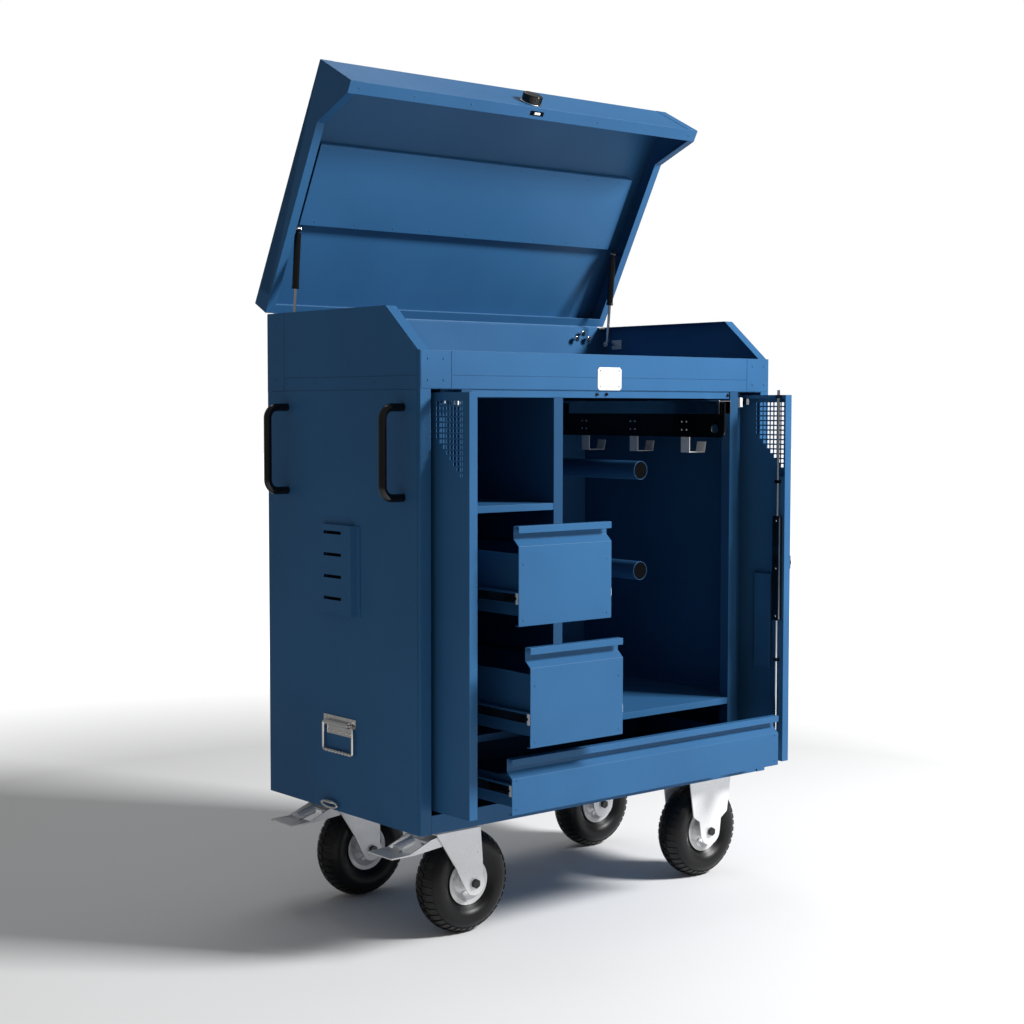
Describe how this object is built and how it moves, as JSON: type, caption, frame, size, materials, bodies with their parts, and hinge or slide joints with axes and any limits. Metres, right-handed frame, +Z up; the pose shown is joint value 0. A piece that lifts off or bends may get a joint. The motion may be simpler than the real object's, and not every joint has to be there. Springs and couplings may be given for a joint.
{
  "type": "rolling tool chest",
  "caption": "Rolling sheet-metal tool chest on pneumatic castors, with a strut-held lid, sliding pocket doors, drawers, a locker with hanging tubes and a pull-out hook rail.",
  "frame": {"origin": "on the floor under the middle of the chest's box, with the lid open and the drawers and doors as they stand", "axes": "+X to the right seen from the front, +Y towards the back, +Z up"},
  "size_m": [1.27, 0.9554, 2.1588],
  "materials": {
    "blue_powder_coat": "satin powder coat",
    "black_enamel": "gloss black enamel",
    "zinc_plate": "bright zinc plate",
    "chrome_plate": "bright nickel or chrome plate",
    "tyre_rubber": "satin black rubber",
    "white_plate": "plain light plate"
  },
  "bodies": {
    "cabinet": {"side_left": "blue_powder_coat", "side_right": "blue_powder_coat", "base_pan": "blue_powder_coat", "back_panel": "blue_powder_coat", "top_tray": "blue_powder_coat", "front_rail": "blue_powder_coat", "pocket_wall_left": "blue_powder_coat", "pocket_wall_right": "blue_powder_coat", "divider": "blue_powder_coat", "lower_shelf": "blue_powder_coat", "column_shelf": "blue_powder_coat", "name_plate": "white_plate", "push_handle_front": "black_enamel", "push_handle_rear": "black_enamel", "vent_cover": "blue_powder_coat", "chest_handle_plate": "chrome_plate", "hanging_tube_upper": "blue_powder_coat", "hanging_tube_lower": "blue_powder_coat", "hook_rail_track": "black_enamel", "castor_head_front": "zinc_plate", "castor_head_rear": "zinc_plate", "fixed_fork_front": "zinc_plate", "fixed_fork_rear": "zinc_plate"},
    "lid": {"lid_shell": "blue_powder_coat", "lid_liner": "blue_powder_coat"},
    "lid_knob": {"lid_knob": "black_enamel"},
    "strut_rod_left": {"strut_rod_left": "zinc_plate"},
    "strut_tube_left": {"strut_tube_left": "black_enamel"},
    "strut_rod_right": {"strut_rod_right": "zinc_plate"},
    "strut_tube_right": {"strut_tube_right": "black_enamel"},
    "door_left": {"door_left": "blue_powder_coat"},
    "door_right": {"door_right": "blue_powder_coat", "lock_case": "black_enamel"},
    "lock_knob": {"lock_knob": "black_enamel"},
    "lock_rod_upper": {"lock_rod_upper": "zinc_plate"},
    "lock_rod_lower": {"lock_rod_lower": "zinc_plate"},
    "drawer_upper": {"drawer_upper_front": "blue_powder_coat", "drawer_upper_box": "blue_powder_coat"},
    "drawer_lower": {"drawer_lower_front": "blue_powder_coat", "drawer_lower_box": "blue_powder_coat"},
    "drawer_bottom": {"drawer_bottom_front": "blue_powder_coat", "drawer_bottom_box": "blue_powder_coat"},
    "hook_carriage": {"hook_rail_bar": "black_enamel", "hook_1": "zinc_plate", "hook_2": "zinc_plate", "hook_3": "zinc_plate"},
    "hook_slide": {"hook_rail_slide": "zinc_plate"},
    "chest_handle_bail": {"chest_handle_bail": "chrome_plate"},
    "castor_front": {"swivel_fork_front": "zinc_plate"},
    "pedal_front": {"brake_pedal_front": "zinc_plate"},
    "wheel_front_left": {"tyre_front_left": "tyre_rubber", "rim_front_left": "zinc_plate"},
    "wheel_front_right": {"tyre_front_right": "tyre_rubber", "rim_front_right": "zinc_plate"},
    "castor_rear": {"swivel_fork_rear": "zinc_plate"},
    "pedal_rear": {"brake_pedal_rear": "zinc_plate"},
    "wheel_rear_left": {"tyre_rear_left": "tyre_rubber", "rim_rear_left": "zinc_plate"},
    "wheel_rear_right": {"tyre_rear_right": "tyre_rubber", "rim_rear_right": "zinc_plate"}
  },
  "joints": [
    {"name": "lid_hinge", "type": "hinge", "parent": "cabinet", "child": "lid", "pos_m": [0.035, 0.4213, 1.538], "axis": [1, 0, 0], "range_deg": [0, 62]},
    {"name": "lid_knob_turn", "type": "hinge", "parent": "lid", "child": "lid_knob", "pos_m": [0.035, 0.06596, 2.10619], "axis": [0, -0.4695, 0.8829], "range_deg": [0, 90]},
    {"name": "strut_left_swing", "type": "hinge", "parent": "cabinet", "child": "strut_rod_left", "pos_m": [-0.521, 0.3613, 1.49], "axis": [1, 0, 0], "range_deg": [0, 61.5]},
    {"name": "strut_left_stroke", "type": "slide", "parent": "strut_rod_left", "child": "strut_tube_left", "axis": [0, 0.09, -0.9959], "range_m": [0, 0.081]},
    {"name": "strut_right_swing", "type": "hinge", "parent": "cabinet", "child": "strut_rod_right", "pos_m": [0.591, 0.3613, 1.49], "axis": [1, 0, 0], "range_deg": [0, 61.5]},
    {"name": "strut_right_stroke", "type": "slide", "parent": "strut_rod_right", "child": "strut_tube_right", "axis": [0, 0.09, -0.9959], "range_m": [0, 0.081]},
    {"name": "door_left_slide", "type": "slide", "parent": "cabinet", "child": "door_left", "axis": [0, -1, 0], "range_m": [0, 0.445]},
    {"name": "door_right_slide", "type": "slide", "parent": "cabinet", "child": "door_right", "axis": [0, -1, 0], "range_m": [0, 0.445]},
    {"name": "lock_turn", "type": "hinge", "parent": "door_right", "child": "lock_knob", "pos_m": [0.5895, -0.3477, 0.882], "axis": [1, 0, 0], "range_deg": [0, 90]},
    {"name": "lock_rod_upper_slide", "type": "slide", "parent": "door_right", "child": "lock_rod_upper", "axis": [0, 0, 1], "range_m": [0, 0.0151]},
    {"name": "lock_rod_lower_slide", "type": "slide", "parent": "door_right", "child": "lock_rod_lower", "axis": [0, 0, -1], "range_m": [0, 0.0151]},
    {"name": "drawer_upper_slide", "type": "slide", "parent": "cabinet", "child": "drawer_upper", "axis": [0, -1, 0], "range_m": [-0.172, 0.26]},
    {"name": "drawer_lower_slide", "type": "slide", "parent": "cabinet", "child": "drawer_lower", "axis": [0, -1, 0], "range_m": [-0.214, 0.22]},
    {"name": "drawer_bottom_slide", "type": "slide", "parent": "cabinet", "child": "drawer_bottom", "axis": [0, -1, 0], "range_m": [-0.149, 0.28]},
    {"name": "hook_rail_pull", "type": "slide", "parent": "cabinet", "child": "hook_carriage", "axis": [0, -1, 0], "range_m": [-0.049, 0.4]},
    {"name": "hook_slide_pull", "type": "slide", "parent": "cabinet", "child": "hook_slide", "axis": [0, -1, 0], "range_m": [-0.0246, 0.2001]},
    {"name": "bail_swing", "type": "hinge", "parent": "cabinet", "child": "chest_handle_bail", "pos_m": [-0.5735, 0.0903, 0.514], "axis": [0, 1, 0], "range_deg": [0, 90]},
    {"name": "castor_front_swivel", "type": "hinge", "parent": "cabinet", "child": "castor_front", "pos_m": [-0.413, -0.1297, 0.2695], "axis": [0, 0, 1], "continuous": true},
    {"name": "pedal_front_press", "type": "hinge", "parent": "castor_front", "child": "pedal_front", "pos_m": [-0.448, -0.1297, 0.252], "axis": [0, -1, 0], "range_deg": [0, 12]},
    {"name": "wheel_front_left_roll", "type": "hinge", "parent": "castor_front", "child": "wheel_front_left", "pos_m": [-0.355, -0.1297, 0.13], "axis": [0, 1, 0], "continuous": true},
    {"name": "wheel_front_right_roll", "type": "hinge", "parent": "cabinet", "child": "wheel_front_right", "pos_m": [0.481, -0.1297, 0.13], "axis": [0, 1, 0], "continuous": true},
    {"name": "castor_rear_swivel", "type": "hinge", "parent": "cabinet", "child": "castor_rear", "pos_m": [-0.413, 0.3043, 0.2695], "axis": [0, 0, 1], "continuous": true},
    {"name": "pedal_rear_press", "type": "hinge", "parent": "castor_rear", "child": "pedal_rear", "pos_m": [-0.448, 0.3043, 0.252], "axis": [0, -1, 0], "range_deg": [0, 12]},
    {"name": "wheel_rear_left_roll", "type": "hinge", "parent": "castor_rear", "child": "wheel_rear_left", "pos_m": [-0.355, 0.3043, 0.13], "axis": [0, 1, 0], "continuous": true},
    {"name": "wheel_rear_right_roll", "type": "hinge", "parent": "cabinet", "child": "wheel_rear_right", "pos_m": [0.481, 0.3043, 0.13], "axis": [0, 1, 0], "continuous": true}
  ],
  "couplings": [
    {"joint": "strut_left_swing", "follows": "lid_hinge", "ratio": 0.98327},
    {"joint": "strut_left_stroke", "follows": "lid_hinge", "m_per_rad": 0.073045},
    {"joint": "strut_right_swing", "follows": "lid_hinge", "ratio": 0.98327},
    {"joint": "strut_right_stroke", "follows": "lid_hinge", "m_per_rad": 0.073045},
    {"joint": "lock_rod_upper_slide", "follows": "lock_turn", "m_per_rad": 0.009549},
    {"joint": "lock_rod_lower_slide", "follows": "lock_turn", "m_per_rad": 0.009549},
    {"joint": "hook_slide_pull", "follows": "hook_rail_pull", "ratio": 0.5}
  ]
}
